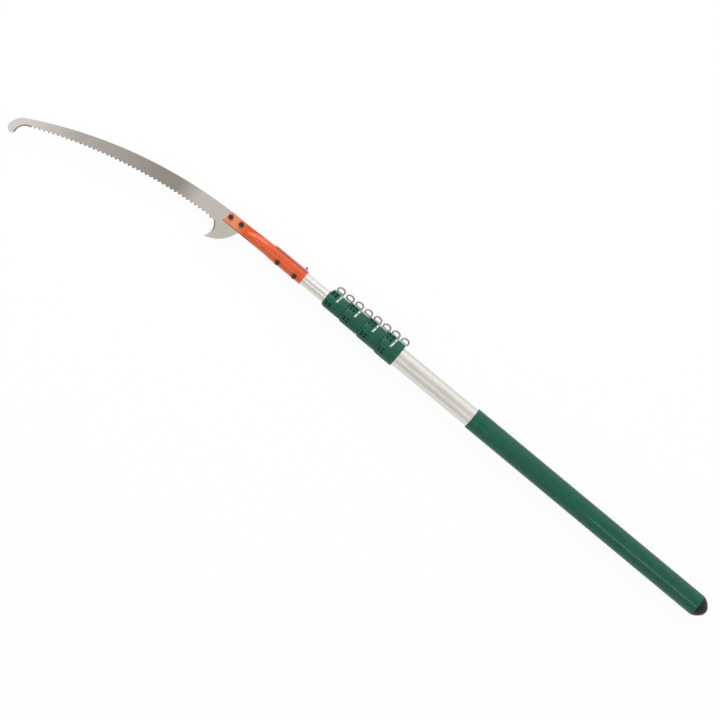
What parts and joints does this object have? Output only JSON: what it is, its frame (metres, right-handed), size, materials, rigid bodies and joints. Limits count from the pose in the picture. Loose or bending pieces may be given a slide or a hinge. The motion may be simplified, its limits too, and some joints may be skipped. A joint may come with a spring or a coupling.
{
  "type": "pole saw",
  "caption": "Telescopic pole saw with a curved toothed blade, hooks at tip and root, a pressed socket and sliding tubes locked by collars with pull rings.",
  "frame": {"origin": "middle of the end plug's flat face at the butt, on the pole's axis", "axes": "+X along the pole from the butt to the blade, +Y towards the teeth, +Z square to the blade's flat"},
  "size_m": [1.3986, 0.157, 0.039],
  "materials": {
    "blade_steel": "satin",
    "orange_paint": "gloss",
    "aluminium": "satin",
    "green_nylon": "satin",
    "green_vinyl": "matte",
    "black_plastic": "satin",
    "grey_steel": "satin",
    "dark_steel": "satin",
    "zinc": "satin",
    "brass": "satin"
  },
  "bodies": {
    "section_1": {"tube_1": "aluminium", "grip_sleeve": "green_vinyl", "end_cap": "black_plastic", "collar_1": "green_nylon", "fixing_eye_1": "grey_steel", "pin_bush_1": "brass"},
    "section_2": {"tube_2": "aluminium", "tube_plug_2": "black_plastic", "collar_2": "green_nylon", "fixing_eye_2": "grey_steel", "pin_bush_2": "brass"},
    "section_3": {"tube_3": "aluminium", "tube_plug_3": "black_plastic", "collar_3": "green_nylon", "fixing_eye_3": "grey_steel", "pin_bush_3": "brass"},
    "section_4": {"tube_4": "aluminium", "tube_plug_4": "black_plastic", "collar_4": "green_nylon", "fixing_eye_4": "grey_steel", "pin_bush_4": "brass"},
    "section_5": {"tube_5": "aluminium", "tube_plug_5": "black_plastic", "near_socket_shell": "orange_paint", "far_socket_shell": "orange_paint", "saw_blade": "blade_steel", "blade_1_bolt": "dark_steel", "blade_1_nut": "dark_steel", "blade_2_bolt": "dark_steel", "blade_2_nut": "dark_steel", "clamp_1_bolt": "dark_steel", "clamp_1_nut": "dark_steel", "clamp_2_bolt": "dark_steel", "clamp_2_nut": "dark_steel", "socket_lock_screw": "dark_steel", "socket_lock_nut": "zinc"},
    "pin_1": {"lock_pin_1": "grey_steel"},
    "pin_2": {"lock_pin_2": "grey_steel"},
    "pin_3": {"lock_pin_3": "grey_steel"},
    "pin_4": {"lock_pin_4": "grey_steel"}
  },
  "joints": [
    {"name": "section_2_slide", "type": "slide", "parent": "section_1", "child": "section_2", "axis": [1, 0, 0], "range_m": [0, 0.54]},
    {"name": "section_3_slide", "type": "slide", "parent": "section_2", "child": "section_3", "axis": [1, 0, 0], "range_m": [0, 0.54]},
    {"name": "section_4_slide", "type": "slide", "parent": "section_3", "child": "section_4", "axis": [1, 0, 0], "range_m": [0, 0.54]},
    {"name": "section_5_slide", "type": "slide", "parent": "section_4", "child": "section_5", "axis": [1, 0, 0], "range_m": [0, 0.54]},
    {"name": "pin_1_pull", "type": "slide", "parent": "section_1", "child": "pin_1", "axis": [0, -1, 0], "range_m": [0, 0.0025], "stiffness_N_per_m": 800, "springref_m": -0.004},
    {"name": "pin_2_pull", "type": "slide", "parent": "section_2", "child": "pin_2", "axis": [0, -1, 0], "range_m": [0, 0.0025], "stiffness_N_per_m": 800, "springref_m": -0.004},
    {"name": "pin_3_pull", "type": "slide", "parent": "section_3", "child": "pin_3", "axis": [0, -1, 0], "range_m": [0, 0.0025], "stiffness_N_per_m": 800, "springref_m": -0.004},
    {"name": "pin_4_pull", "type": "slide", "parent": "section_4", "child": "pin_4", "axis": [0, -1, 0], "range_m": [0, 0.0025], "stiffness_N_per_m": 800, "springref_m": -0.004}
  ]
}
